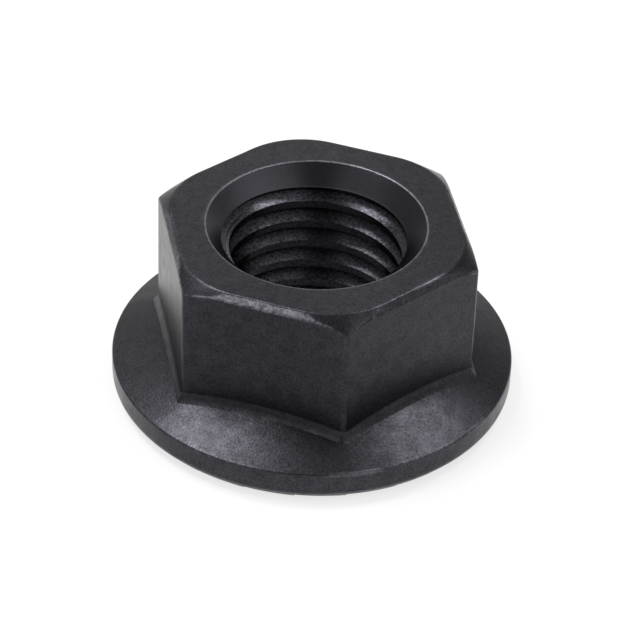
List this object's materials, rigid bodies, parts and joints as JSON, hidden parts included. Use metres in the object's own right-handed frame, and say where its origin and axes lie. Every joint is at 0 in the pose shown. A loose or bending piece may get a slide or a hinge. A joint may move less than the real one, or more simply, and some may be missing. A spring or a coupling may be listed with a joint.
{
  "type": "serrated flange nut",
  "caption": "Hexagon nut with a forged conical flange, a countersunk threaded bore and ratchet serrations under the flange that grip the joint without a washer.",
  "frame": {"origin": "centre of the bore, on the plane that the serration tips stand on", "axes": "+Z along the bore from the flange towards the hexagon's top face; +X square to one of the hexagon's flats"},
  "size_m": [0.0333, 0.0332, 0.0155],
  "materials": {
    "black_steel": "black oxide over forged steel, satin, worn bright along the edges"
  },
  "bodies": {
    "root": {"flange_nut": "black_steel"}
  },
  "joints": []
}
